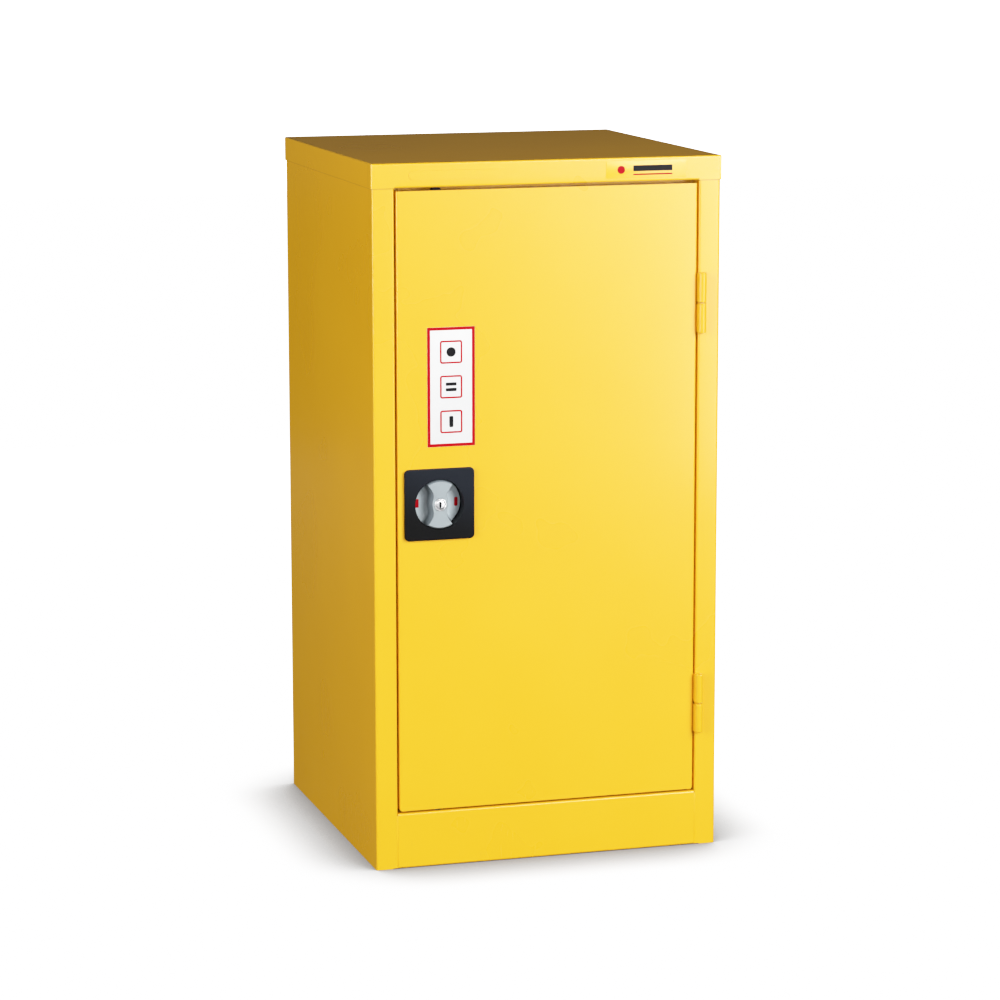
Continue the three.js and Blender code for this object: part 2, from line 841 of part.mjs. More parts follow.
// Flat bolt that the key plug slides out of the knob into a notch of the cup.
function lockBolt() {
  const pinZ = -plugPinOffset * Math.sin(halfSwing);
  const half = lockBoltWidth / 2;
  const [headHalf, headTop, headBottom] = [5.5, 3, -5];
  const play = 0.25;
  const slotHalf = plugPinRadius + play;
  const slotInner = plugPinOffset * Math.cos(halfSwing) - plugPinRadius - play;
  const slotOuter = plugPinOffset + plugPinRadius + play;
  const back = lockBoltY + lockBoltThickness;
  return cut(
    join(
      block(-headHalf, headHalf, lockBoltY, back, headBottom, headTop),
      block(-half, half, lockBoltY, back, 0, knobRadius - 2 * gap),
    ),
    block(slotInner, slotOuter, lockBoltY - 1, back + 1, pinZ - slotHalf, pinZ + slotHalf),
  );
}

// Cam on the handle's square drive, with the two studs that move the rods.
function rodCam() {
  const place = studOffset * Math.cos(halfSwing);
  const armRadius = 5.5;
  const hubRadius = 13;
  const half = driveSquare / 2 + gap;
  const stud = (i) =>
    bar("y", i * place, i * place, studRadius, camY + 1, studClipY + studClipThickness + 1, 20);
  return join(
    cut(
      join(
        extrude(stadium(-place, -place, place, place, armRadius), "y", camY, camY + camThickness),
        bar("y", 0, 0, hubRadius, camY, camY + camThickness, 32),
      ),
      block(-half, half, camY - 1, camY + camThickness + 1, -half, half),
    ),
    stud(-1),
    stud(1),
  );
}

function camWasher() {
  return cut(
    bar("y", 0, 0, 10, washerY, washerY + washerThickness),
    bar("y", 0, 0, camScrewRadius + gap, washerY - 1, washerY + 2 * washerThickness, 20),
  );
}

function camScrew() {
  const headRadius = 4.6;
  return join(
    bar("y", 0, 0, headRadius, screwHeadY, screwHeadY + screwHeadHeight, 6),
    bar("y", 0, 0, camScrewRadius, cavityBackY + 2, screwHeadY + 1, 20),
  );
}

function studClip() {
  return cut(
    bar("y", 0, 0, studRadius + 2.2, studClipY, studClipY + studClipThickness, 20),
    bar("y", 0, 0, studRadius + gap, studClipY - 1, studClipY + 2, 20),
    block(-1.2, 1.2, studClipY - 1, studClipY + 2, 0, 2 * studOffset),
  );
}

// Backing plate inside the door that the four screws pull the escutcheon against.
function clampPlate() {
  const half = cupOuter + gap + clampWall;
  const y0 = sheet + gap;
  return cut(
    extrude(roundedRectangle(-half, half, -half, half, [5, 5, 5, 5]), "y", y0, y0 + clampThickness, 3),
    bar("y", 0, 0, cupOuter + gap, y0 - 1, y0 + clampThickness + 1, 48),
    ...clampScrewPlaces(0, 0).map(([x, z]) =>
      bar("y", x, z, clampScrewRadius + gap, y0 - 1, y0 + clampThickness + 1, 12),
    ),
  );
}

function clampScrew() {
  const headY = sheet + clampThickness + 2 * gap;
  const [headRadius, headHeight] = [3.4, 2.2];
  return join(
    bar("y", 0, 0, clampScrewRadius, -gap - 2.2, headY + 1, 12),
    bar("y", 0, 0, headRadius, headY, headY + headHeight, 16),
  );
}

// Rod with a flattened end whose level slot rides on a stud. It points up, at rest, from the lock's
// axis to its tip at height reach.
function lockingRod(reach) {
  const yokeMiddle = yokeY + yokeThickness / 2;
  const studX = -studOffset * Math.cos(halfSwing);
  const studZ = -studOffset * Math.sin(halfSwing);
  const slotInner = studX + studRadius + gap;
  const slotOuter = -studOffset - studRadius - gap;
  const slotHalf = studRadius + rodPlay;
  const wall = 1.8;
  const yokeOuter = slotOuter - 3;
  const yokeInner = slotInner + wall;
  const [neckZ, yokeTop] = [10, 18];
  const plate = new THREE.Shape(
    [
      [yokeOuter, studZ - slotHalf - 3],
      [yokeInner, studZ - slotHalf - 3],
      [yokeInner, neckZ],
      [rodRadius, neckZ],
      [rodRadius, yokeTop],
      [yokeOuter + 6, yokeTop],
      [yokeOuter, yokeTop - 6],
    ].map(([x, z]) => new THREE.Vector2(x, z)),
  );
  const yoke = cut(
    extrude(plate, "y", yokeY, yokeY + yokeThickness),
    block(slotOuter, slotInner, yokeY - 1, yokeY + yokeThickness + 1, studZ - slotHalf, studZ + slotHalf),
  );
  const crankStart = cupOuter + 6;
  const crankEnd = crankStart + 40;
  const pull = (crankEnd - crankStart) / 2;
  const crank = new THREE.CubicBezierCurve3(
    new THREE.Vector3(0, yokeMiddle, crankStart),
    new THREE.Vector3(0, yokeMiddle, crankStart + pull),
    new THREE.Vector3(0, rodY, crankEnd - pull),
    new THREE.Vector3(0, rodY, crankEnd),
  );
  const chamfer = 1.2;
  const tip = [
    [0, crankEnd - lap],
    [rodRadius, crankEnd - lap],
    [rodRadius, reach - chamfer],
    [rodRadius - chamfer, reach],
    [0, reach],
  ];
  return join(
    yoke,
    bar("z", 0, yokeMiddle, rodRadius, neckZ + 3, crankStart + lap, 16),
    sweptBar(crank, rodRadius, 12),
    turned(tip, 0, rodY, 16),
  );
}

// A round bar along a curve.
function sweptBar(curve, radius, steps) {
  const geometry = new THREE.ExtrudeGeometry(circle(0, 0, radius), {
    steps,
    extrudePath: curve,
    curveSegments: 8,
  });
  return solidOf(geometry);
}

// ------------------------------------------------------------------ labels

function doorLabel() {
  const [labelWidth, labelHeight, x, z] = [62, 151, -127.6, 618.7];
  const y = faceY - labelAir;
  return block(
    x - labelWidth / 2, x + labelWidth / 2, y - labelThickness, y,
    z - labelHeight / 2, z + labelHeight / 2,
  );
}

function capLabel() {
  const [labelWidth, labelHeight, inset] = [107, 22, 48];
  const right = width / 2 - inset;
  const z = capUnder + capRim / 2;
  return block(
    right - labelWidth, right, -labelAir - labelThickness, -labelAir,
    z - labelHeight / 2, z + labelHeight / 2,
  );
}

// ------------------------------------------------------------------ materials

const paint = (color, roughness, metalness) =>
  new THREE.MeshStandardMaterial({ color, roughness, metalness, flatShading: true });
const yellowPowderCoat = paint(0xf7cd2f, 0.38, 0);
const blackPlastic = paint(0x2b3038, 0.55, 0);
const greyPlastic = paint(0xb9c3c8, 0.45, 0);
const redVinyl = paint(0xc8141e, 0.4, 0);
const whiteVinyl = paint(0xf4f4f2, 0.35, 0);
const clearVinyl = paint(0xf6d772, 0.25, 0);
const chrome = paint(0xd8dadc, 0.12, 1);
const zincSteel = paint(0xb4b8bc, 0.35, 1);
const blackRubber = paint(0x1c1c1c, 0.8, 0);

// ------------------------------------------------------------------ assembly

const cabinet = new THREE.Group();
cabinet.position.y = -(depth - frontProjection) / 2;

const lock = new THREE.Group();
lock.position.set(lockX, faceY, lockZ);
cabinet.add(lock);

function add(parent, name, material, solid) {
  const mesh = new THREE.Mesh(geometryOf(solid), material);
  mesh.name = name;
  parent.add(mesh);
  return mesh;
}

add(cabinet, "top_cap", yellowPowderCoat, topCap());
add(cabinet, "left_side_panel", yellowPowderCoat, sidePanel(-1));
add(cabinet, "right_side_panel", yellowPowderCoat, sidePanel(1));
add(cabinet, "left_base_runner", yellowPowderCoat, baseRunner(-1));
add(cabinet, "right_base_runner", yellowPowderCoat, baseRunner(1));
add(cabinet, "back_panel", yellowPowderCoat, backPanel());
add(cabinet, "top_door_stop", yellowPowderCoat, topDoorStop());
add(cabinet, "bottom_rail", yellowPowderCoat, bottomRail());
add(cabinet, "sump_pan", yellowPowderCoat, sumpPan());
add(cabinet, "top_keep", zincSteel, keep(capUnder + sheet + gap));
add(cabinet, "bottom_keep", zincSteel, keep(railHeight - sheet - gap - keepThickness));
add(cabinet, "upper_door_buffer", blackRubber, doorBuffer(height - upperBufferDrop));
add(cabinet, "lower_door_buffer", blackRubber, doorBuffer(railHeight + lowerBufferRise));
add(cabinet, "cap_label", clearVinyl, capLabel());

for (const [sideName, side] of [["left", -1], ["right", 1]]) {
  for (const [placeName, y] of [["front", frontUprightY], ["rear", rearUprightY]]) {
    add(cabinet, `${placeName}_${sideName}_upright`, yellowPowderCoat, upright(side, y));
    add(cabinet, `${placeName}_${sideName}_shelf_clip`, zincSteel, shelfClip(side, y));
  }
}
add(cabinet, "shelf_tray", yellowPowderCoat, shelfTray());
add(cabinet, "shelf_stiffener", yellowPowderCoat, shelfStiffener());

add(cabinet, "door_skin", yellowPowderCoat, doorSkin());
add(cabinet, "door_top_channel", yellowPowderCoat, doorEndChannel(doorTop, -1));
add(cabinet, "door_bottom_channel", yellowPowderCoat, doorEndChannel(doorBottom, 1));
add(cabinet, "door_stiffener", yellowPowderCoat, doorStiffener());
add(cabinet, "door_label", whiteVinyl, doorLabel());
for (const [place, z, turn] of [["top", doorTop, 0], ["bottom", doorBottom, Math.PI]]) {
  const guide = add(cabinet, `${place}_rod_guide`, blackPlastic, rodGuide());
  guide.position.set(lockX, faceY + rodY, z);
  guide.rotation.y = turn;
}

for (const [place, z] of Object.entries(hingeHeights)) {
  const frameZ = z - hingeLength / 2;
  add(cabinet, `${place}_hinge_frame_half`, yellowPowderCoat, hingeHalf(frameZ));
  add(cabinet, `${place}_hinge_door_half`, yellowPowderCoat, hingeHalf(z + knuckleGap / 2));
  add(cabinet, `${place}_hinge_pin`, zincSteel, hingePin(z));
  add(cabinet, `${place}_hinge_washer`, yellowPowderCoat, washerRing(z));
}

add(lock, "lock_escutcheon", blackPlastic, escutcheon());
add(lock, "lock_clamp_plate", zincSteel, clampPlate());
clampScrewPlaces(0, 0).forEach(([x, z], i) => {
  add(lock, `clamp_screw_${i + 1}`, zincSteel, clampScrew()).position.set(x, 0, z);
});
add(lock, "turn_handle", greyPlastic, turnHandle());
add(lock, "left_indicator", redVinyl, indicator()).position.x = -25.5;
add(lock, "right_indicator", redVinyl, indicator()).position.x = 25.5;
add(lock, "cylinder_sleeve", chrome, cylinderSleeve());
add(lock, "key_plug", chrome, keyPlug());
add(lock, "lock_bolt", zincSteel, lockBolt());
add(lock, "rod_cam", zincSteel, rodCam());
add(lock, "cam_washer", zincSteel, camWasher());
add(lock, "cam_screw", zincSteel, camScrew());
for (const [place, side] of [["upper", -1], ["lower", 1]]) {
  const offset = side * studOffset * Math.cos(halfSwing);
  const clip = add(lock, `${place}_stud_clip`, zincSteel, studClip());
  clip.position.set(offset, 0, offset);
}
const upperReach = capUnder - rodTipClearance - lockZ;
const lowerReach = lockZ - railHeight - rodTipClearance;
add(lock, "upper_rod", zincSteel, lockingRod(upperReach));
add(lock, "lower_rod", zincSteel, lockingRod(lowerReach)).rotation.y = Math.PI;

export default cabinet;
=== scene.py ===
"""Single-door steel cabinet for flammable liquids: its surfaces, finishes, light and camera.

Metres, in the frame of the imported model: x to the right as you face the door, y from the door
towards the back, z up, with the origin on the floor at the centre of the footprint.
"""
import json
from math import atan2, cos, pi, radians, sin, sqrt

import bmesh
import bpy
from mathutils import Matrix, Vector


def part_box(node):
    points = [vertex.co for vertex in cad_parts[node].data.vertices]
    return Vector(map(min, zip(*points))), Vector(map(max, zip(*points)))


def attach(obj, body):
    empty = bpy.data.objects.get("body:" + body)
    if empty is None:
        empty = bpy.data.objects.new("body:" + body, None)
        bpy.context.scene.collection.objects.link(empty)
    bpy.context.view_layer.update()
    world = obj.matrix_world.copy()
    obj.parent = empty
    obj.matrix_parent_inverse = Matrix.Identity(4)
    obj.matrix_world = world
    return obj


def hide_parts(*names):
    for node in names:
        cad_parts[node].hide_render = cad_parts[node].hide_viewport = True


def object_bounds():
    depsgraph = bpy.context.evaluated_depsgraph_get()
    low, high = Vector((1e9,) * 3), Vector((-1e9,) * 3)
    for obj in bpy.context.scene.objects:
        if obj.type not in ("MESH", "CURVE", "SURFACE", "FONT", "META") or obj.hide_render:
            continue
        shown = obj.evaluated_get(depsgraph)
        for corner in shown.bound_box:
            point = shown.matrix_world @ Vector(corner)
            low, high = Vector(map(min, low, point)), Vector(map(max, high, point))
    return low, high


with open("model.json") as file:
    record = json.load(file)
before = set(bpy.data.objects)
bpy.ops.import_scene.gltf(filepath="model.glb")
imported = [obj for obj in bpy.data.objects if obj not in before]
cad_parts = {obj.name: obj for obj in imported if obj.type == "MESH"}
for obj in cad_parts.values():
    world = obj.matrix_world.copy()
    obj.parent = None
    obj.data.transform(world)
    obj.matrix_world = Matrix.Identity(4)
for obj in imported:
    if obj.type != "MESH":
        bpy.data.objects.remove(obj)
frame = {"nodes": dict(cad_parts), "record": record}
CAD_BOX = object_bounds()

MM = 0.001

# ---------------------------------------------------------------- places read from the frame

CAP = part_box("top_cap")
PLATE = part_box("lock_escutcheon")
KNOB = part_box("turn_handle")
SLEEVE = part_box("cylinder_sleeve")
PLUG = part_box("key_plug")
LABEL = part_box("door_label")
CAP_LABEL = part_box("cap_label")


def middle(box):
    return (box[0] + box[1]) / 2


LOCK_X = middle(PLATE).x
LOCK_Z = middle(PLATE).z
DISH_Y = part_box("left_indicator")[1].y + 0.1 * MM

# ---------------------------------------------------------------- node trees as expressions


class Value:
    """A socket of a node tree. Arithmetic on it adds the Math nodes that the expression needs."""

    def __init__(self, shade, socket):
        self.shade = shade
        self.socket = socket

    def math(self, operation, *values):
        inputs = dict(enumerate(values))
        return self.shade.node("ShaderNodeMath", {"operation": operation}, inputs).out()

    def __add__(self, other):
        return self.math("ADD", self, other)

    __radd__ = __add__

    def __mul__(self, other):
        return self.math("MULTIPLY", self, other)

    def __sub__(self, other):
        return self.math("SUBTRACT", self, other)

    def __rsub__(self, other):
        return self.math("SUBTRACT", other, self)

    def __abs__(self):
        return self.math("ABSOLUTE", self)

    def at_most(self, other):
        return self.math("MINIMUM", self, other)

    def step(self, start, end):
        """0 up to start, 1 from end on, and smooth between them."""
        settings = {"interpolation_type": "SMOOTHSTEP"}
        inputs = {"Value": self, "From Min": start, "From Max": end}
        return self.shade.node("ShaderNodeMapRange", settings, inputs).out()


class Node:
    """A node that has just been made, and its outputs."""

    def __init__(self, shade, node):
        self.shade = shade
        self.node = node

    def out(self, name=0):
        return Value(self.shade, self.node.outputs[name])


class Shade:
    """A material with one Principled BSDF, built up by expressions."""

    def __init__(self, name, constants):
        self.material = bpy.data.materials.new(name)
        self.material.use_nodes = True
        self.tree = self.material.node_tree
        self.surface = self.tree.nodes["Principled BSDF"]
        for socket, value in constants.items():
            self.surface.inputs[socket].default_value = value
        self.object_place = self.node("ShaderNodeTexCoord").out("Object")

    def node(self, kind, settings=None, inputs=None):
        node = self.tree.nodes.new(kind)
        for setting, value in (settings or {}).items():
            setattr(node, setting, value)
        for socket, value in (inputs or {}).items():
            self.put(node.inputs[socket], value)
        return Node(self, node)

    def put(self, socket, value):
        if isinstance(value, Value):
            self.tree.links.new(value.socket, socket)
        else:
            socket.default_value = value

    def feed(self, socket, value):
        self.put(self.surface.inputs[socket], value)

    def axes(self):
        split = self.node("ShaderNodeSeparateXYZ", inputs={0: self.object_place})
        return split.out("X"), split.out("Y"), split.out("Z")

    def stretched(self, scale):
        """Object coordinates stretched by a scale on each axis."""
        inputs = {"Vector": self.object_place, "Scale": scale}
        return self.node("ShaderNodeMapping", {"vector_type": "POINT"}, inputs).out()

    def noise(self, size, detail=2.0, roughness=0.5, place=None):
        """Noise whose blobs are about size across, in metres."""
        inputs = {
            "Vector": place or self.object_place,
            "Scale": 1 / size,
            "Detail": detail,
            "Roughness": roughness,
        }
        return self.node("ShaderNodeTexNoise", {"normalize": True}, inputs).out("Fac")

    def blend(self, factor, one, other):
        """Colour one where factor is 0, and the other where it is 1."""
        settings = {"data_type": "RGBA", "blend_type": "MIX"}
        mix = self.node("ShaderNodeMix", settings)
        self.put(mix.node.inputs["Factor"], factor)
        self.put(mix.node.inputs[6], one)
        self.put(mix.node.inputs[7], other)
        return Value(self, mix.node.outputs[2])

    def relief(self, height, depth, strength=1.0, under=None):
        """A bump of the given depth in metres, over another one if there is one."""
        inputs = {"Height": height, "Distance": depth, "Strength": strength}
        if under is not None:
            inputs["Normal"] = under
        return self.node("ShaderNodeBump", None, inputs).out()


def colour(red, green, blue):
    return (red, green, blue, 1.0)


# ---------------------------------------------------------------- finishes


def thin(place, centre):
    """1 within a third of a millimetre of the centre, and 0 from one millimetre on."""
    return 1 - abs(place - centre).step(0.3 * MM, 1.0 * MM)


def cap_shadow_and_coat_lines(x, y, z):
    """Dark lines in the coat: a painted shadow just under the cap's lower edge, the cap's corner
    welds and a scratch low down.
    """
    lo, hi = CAP
    cap_shadow_tone, weld_tone, scratch_tone = 0.45, 0.16, 0.3
    weld_inset = 17 * MM
    scratch_inset, scratch_lean = 168 * MM, 0.05
    # Painted shade: a dark line just under the cap's lower edge, where the cap's step throws a thin
    # shadow.
    cap_shadow = z.step(lo.z - 1.3 * MM, lo.z - 0.5 * MM) * (1 - z.step(lo.z, lo.z + 0.3 * MM))
    on_left = 1 - x.step(lo.x + 2 * MM, lo.x + 2.2 * MM)
    weld = (thin(y, lo.y + weld_inset) + thin(y, hi.y - weld_inset)).at_most(1)
    weld = weld * z.step(lo.z, lo.z + 1 * MM) * weld_tone
    scratch = thin(y + z * scratch_lean, lo.y + scratch_inset)
    scratch = scratch * z.step(20 * MM, 30 * MM) * (1 - z.step(50 * MM, 60 * MM))
    return (cap_shadow * cap_shadow_tone + (weld + scratch * scratch_tone) * on_left).at_most(1)


def powder_coat():
    """Satin yellow powder coat on steel sheet: orange peel, a slow waviness, scuffs low down."""
    shade = Shade("yellow_powder_coat", {"IOR": 1.5, "Coat Roughness": 0.12, "Coat IOR": 1.5})
    paint = colour(0.86, 0.43, 0.012)
    deep = colour(0.82, 0.395, 0.009)
    cloud = shade.noise(0.16, detail=3)
    fleck = shade.noise(0.0011, detail=1)
    x, y, z = shade.axes()
    low = 1 - z.step(15 * MM, 100 * MM)
    upright_streaks = shade.stretched((1.0, 1.0, 0.16))
    scuff = shade.noise(0.004, detail=4, place=upright_streaks).step(0.62, 0.72)
    wear = scuff * low * 0.12
    tone = shade.blend(cloud, deep, paint)
    tone = shade.blend(fleck.step(0.55, 0.8) * 0.05, tone, colour(0.95, 0.60, 0.08))
    tone = shade.blend(wear, tone, colour(0.55, 0.27, 0.02))
    # The dark lines are painted shade under the cap, plus real welds and a scratch on the left side.
    shade.feed("Base Color", shade.blend(cap_shadow_and_coat_lines(x, y, z), tone, colour(0.16, 0.07, 0.004)))
    shade.feed("Roughness", 0.28 + (cloud - 0.5) * 0.06 + wear * 0.4)
    shade.feed("Coat Weight", 0.25 - wear * 0.5)
    wave = shade.relief(shade.noise(0.22, detail=0), 0.0012, 0.18)
    peel = shade.relief(shade.noise(0.0019, detail=2, roughness=0.6), 0.00006, 0.4, under=wave)
    shade.feed("Normal", peel)
    return shade.material


def black_plastic():
    """Moulded black plastic with a fine spark texture, and a painted sheen that makes it lighter
    towards the top right.
    """
    shade = Shade("black_plastic", {"IOR": 1.45, "Specular IOR Level": 0.11})
    grain = shade.noise(0.00075, detail=3, roughness=0.65)
    cloud = shade.noise(0.03, detail=2)
    x, _, z = shade.axes()
    # Painted sheen: lighter towards the top and right, darker at the bottom, as light falls on the
    # lock's plate.
    bloom_and_painted_sheen = (z + x * 0.3 + cloud * 0.01).step(PLATE[0].z - 30 * MM, PLATE[1].z - 40 * MM)
    dark = shade.blend(bloom_and_painted_sheen, colour(0.0018, 0.0018, 0.002), colour(0.0078, 0.0100, 0.0150))
    peaks = grain.step(0.56, 0.8) * 0.4
    shade.feed("Base Color", shade.blend(peaks, dark, colour(0.022, 0.026, 0.034)))
    shade.feed("Roughness", 0.42 + (grain - 0.5) * 0.2)
    shade.feed("Normal", shade.relief(grain, 0.00012, 0.8))
    return shade.material


def grey_plastic():
    """Satin grey plastic with a faint flow pattern, with painted shade on the grip's sides and
    painted light in the dish.
    """
    shade = Shade("grey_plastic", {"IOR": 1.46})
    flow = shade.noise(0.02, detail=3)
    grain = shade.noise(0.0008, detail=2)
    _, y, _ = shade.axes()
    front = shade.blend(flow, colour(0.245, 0.28, 0.295), colour(0.27, 0.305, 0.32))
    # Painted shade: the grip's sides, past its front face, are darker.
    shaded_past_front = y.step(KNOB[0].y + 0.2 * MM, KNOB[0].y + 0.9 * MM)
    sides = shade.blend(shaded_past_front, front, colour(0.16, 0.19, 0.21))
    # Painted light: the dish is paler than the rest of the moulding.
    deep = y.step(DISH_Y - 4 * MM, DISH_Y - 0.5 * MM)
    shade.feed("Base Color", shade.blend(deep, sides, colour(0.42, 0.475, 0.50)))
    shade.feed("Roughness", 0.40 + (flow - 0.5) * 0.12)
    shade.feed("Normal", shade.relief(grain, 0.00003, 0.6))
    return shade.material


def vinyl(name, face, roughness=0.32, sheen=0.5):
    """Printed vinyl film: a nearly even colour with a faint texture."""
    shade = Shade(name, {"IOR": 1.48, "Specular IOR Level": sheen})
    cloud = shade.noise(0.012, detail=3)
    fine = shade.noise(0.0006, detail=2)
    darker = colour(*(channel * 0.93 for channel in face[:3]))
    shade.feed("Base Color", shade.blend(cloud, darker, face))
    shade.feed("Roughness", roughness + (fine - 0.5) * 0.1)
    shade.feed("Normal", shade.relief(fine, 0.00002, 0.5))
    return shade.material


def clear_film():
    """Clear film over yellow paint, which looks like slightly paler, glossier paint."""
    shade = Shade("clear_vinyl", {"IOR": 1.5})
    cloud = shade.noise(0.02, detail=2)
    deep, pale = colour(0.85, 0.44, 0.025), colour(0.86, 0.455, 0.035)
    shade.feed("Base Color", shade.blend(cloud, deep, pale))
    shade.feed("Roughness", 0.22 + cloud * 0.06)
    shade.feed("Normal", shade.relief(shade.noise(0.0008), 0.00002, 0.4))
    return shade.material


def chrome():
    """Polished chrome with hairline scratches."""
    shade = Shade("chrome", {"Metallic": 1.0})
    hair = shade.noise(0.0005, detail=3, place=shade.stretched((0.25, 1.0, 2.0)))
    cloud = shade.noise(0.004, detail=2)
    shade.feed("Base Color", shade.blend(cloud, colour(0.78, 0.78, 0.79), colour(0.82, 0.82, 0.83)))
    shade.feed("Roughness", 0.36 + hair.step(0.5, 0.8) * 0.06)
    shade.feed("Normal", shade.relief(hair, 0.000001, 0.2))
    return shade.material


def zinc_steel():
    """Zinc-plated steel: soft cloudy patches and fine drawing lines."""
    shade = Shade("zinc_steel", {"Metallic": 1.0})
    patch = shade.noise(0.006, detail=4, roughness=0.6)
    lines = shade.noise(0.0008, detail=2, place=shade.stretched((1.0, 1.0, 0.04)))
    shade.feed("Base Color", shade.blend(patch, colour(0.46, 0.47, 0.48), colour(0.66, 0.66, 0.64)))
    shade.feed("Roughness", 0.30 + (patch - 0.5) * 0.25 + (lines - 0.5) * 0.15)
    shade.feed("Normal", shade.relief(lines, 0.00003, 0.5))
    return shade.material


def black_rubber():
    """Matt black rubber with a light bloom."""
    shade = Shade("black_rubber", {"IOR": 1.5})
    bloom_and_painted_sheen = shade.noise(0.002, detail=4)
    dark, dusty = colour(0.010, 0.010, 0.010), colour(0.030, 0.030, 0.030)
    shade.feed("Base Color", shade.blend(bloom_and_painted_sheen, dark, dusty))
    shade.feed("Roughness", 0.70 + bloom_and_painted_sheen * 0.2)
    shade.feed("Normal", shade.relief(bloom_and_painted_sheen, 0.00008, 0.6))
    return shade.material


FINISH = {
    "yellow_powder_coat": powder_coat(),
    "black_plastic": black_plastic(),
    "grey_plastic": grey_plastic(),
    "red_vinyl": vinyl("red_vinyl", colour(0.40, 0.0012, 0.006), sheen=0.06),
    "white_vinyl": vinyl("white_vinyl", colour(0.76, 0.76, 0.765)),
    "black_ink": vinyl("black_ink", colour(0.004, 0.004, 0.005), 0.4, sheen=0.1),
    "clear_vinyl": clear_film(),
    "chrome": chrome(),
    "zinc_steel": zinc_steel(),
    "black_rubber": black_rubber(),
}
SLOT_OF = {part["node"]: part["material_slot"] for part in frame["record"]["subparts"]}
BODY_OF = {
    node: body
    for body, nodes in frame["record"]["behaviour"]["bodies"].items()
    for node in nodes
}

# ---------------------------------------------------------------- pieces and mesh helpers


def piece(name, bm, finish, body, stands_for=(), sharp=35):
    """Closes a bmesh into an object of the model, smooth but for edges over sharp degrees."""
    mesh = bpy.data.meshes.new(name)
    for face in bm.faces:
        face.smooth = True
    bm.to_mesh(mesh)
    bm.free()
    mesh.set_sharp_from_angle(angle=radians(sharp))
    mesh.materials.append(FINISH[finish])
    made = bpy.data.objects.new(name, mesh)
    bpy.context.scene.collection.objects.link(made)
    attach(made, body)
    if stands_for:
        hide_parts(*stands_for)
    return made


def dressed(node, sharp=30, edge=0.0):
    """A merged copy of a CAD node with smooth folds and, where edge is given, softened edges."""
    bm = bmesh.new()
    bm.from_mesh(frame["nodes"][node].data)
    bmesh.ops.remove_doubles(bm, verts=bm.verts, dist=0.002 * MM)
    bmesh.ops.dissolve_limit(bm, angle_limit=radians(0.4), verts=bm.verts, edges=bm.edges)
    made = piece(node + "_surface", bm, SLOT_OF[node], BODY_OF[node], [node], sharp)
    if edge:
        softener = made.modifiers.new("softened edges", "BEVEL")
        softener.width = edge
        softener.segments = 2
        softener.limit_method = "ANGLE"
        softener.angle_limit = radians(50)
        softener.use_clamp_overlap = True
    return flattened(made)


def flattened(made):
    """Keeps the shading of large flat faces even next to their rounded edges."""
    weights = made.modifiers.new("flat faces stay flat", "WEIGHTED_NORMAL")
    weights.keep_sharp = True
    return made


def revolved(profile, centre, axis, steps=64):
    """A closed profile of (radius, along) points spun round an axis through centre."""
    bm = bmesh.new()
    across = Vector((1, 0, 0))
    points = [bm.verts.new(centre + across * r + axis * a) for r, a in profile]
    edges = [bm.edges.new(pair) for pair in zip(points, points[1:] + points[:1])]
    bmesh.ops.spin(
        bm, geom=points + edges, cent=centre, axis=axis, angle=2 * pi, steps=steps, use_merge=True,
    )
    bmesh.ops.remove_doubles(bm, verts=bm.verts, dist=0.001 * MM)
    bmesh.ops.recalc_face_normals(bm, faces=bm.faces)
    return bm


def arc(centre, radius, start, end, steps=6):
    """Points of a round stretch, from start to end in degrees, as (across, along)."""
    angles = [radians(start + (end - start) * i / steps) for i in range(steps + 1)]
    return [(centre[0] + radius * cos(a), centre[1] + radius * sin(a)) for a in angles]


def gathered(*parts):
    """One bmesh that holds several closed bodies of the same piece."""
    whole = bmesh.new()
    for part in parts:
        shell = bpy.data.meshes.new("shell")
        part.to_mesh(shell)
        part.free()
        whole.from_mesh(shell)
        bpy.data.meshes.remove(shell)
    return whole


def lofted(outlines, ring=False):
    """Closed outlines of equally many points, skinned in order by extruding the first one.

    The two ends are filled, or joined to each other where it is a ring.
    """
    bm = bmesh.new()
    first = [bm.verts.new(point) for point in outlines[0]]
    edges = [bm.edges.new(pair) for pair in zip(first, first[1:] + first[:1])]
    if not ring:
        bm.faces.new(first)
    current = first
    for outline in outlines[1:] + (outlines[:1] if ring else []):
        order = {vert.co.copy().freeze(): index for index, vert in enumerate(current)}
        grown = bmesh.ops.extrude_edge_only(bm, edges=edges)["geom"]
        edges = [item for item in grown if isinstance(item, bmesh.types.BMEdge)]
        current = sorted(
            (item for item in grown if isinstance(item, bmesh.types.BMVert)),
            key=lambda vert: order[vert.co.copy().freeze()],
        )
        for vert, point in zip(current, outline):
            vert.co = point
        edges = [edge for edge in edges if edge.verts[0] in current and edge.verts[1] in current]
    if ring:
        bmesh.ops.remove_doubles(bm, verts=bm.verts, dist=0.001 * MM)
    else:
        bm.faces.new(current)
    bmesh.ops.recalc_face_normals(bm, faces=bm.faces)
    return bm


def slab(lo, hi, corner=0.0, edge=0.0, axis=1):
    """A block. Its edges along one axis are rounded by corner, and its rims are eased by edge."""
    bm = bmesh.new()
    bmesh.ops.create_cube(bm, size=1)
    bmesh.ops.scale(bm, verts=bm.verts, vec=hi - lo)
    bmesh.ops.translate(bm, verts=bm.verts, vec=(lo + hi) / 2)

    def runs_along(bm_edge):
        line = bm_edge.verts[1].co - bm_edge.verts[0].co
        return abs(line[axis]) > 0.99 * line.length

    def soften(edges, offset, segments):
        bmesh.ops.bevel(
            bm, geom=edges, offset=offset, offset_type="OFFSET", affect="EDGES",
            segments=segments, profile=0.5, material=-1, clamp_overlap=True,
        )

    if corner:
        soften([e for e in bm.edges if runs_along(e)], corner, 6)
    if edge:
        soften([e for e in bm.edges if not runs_along(e)], edge, 3)
    return bm


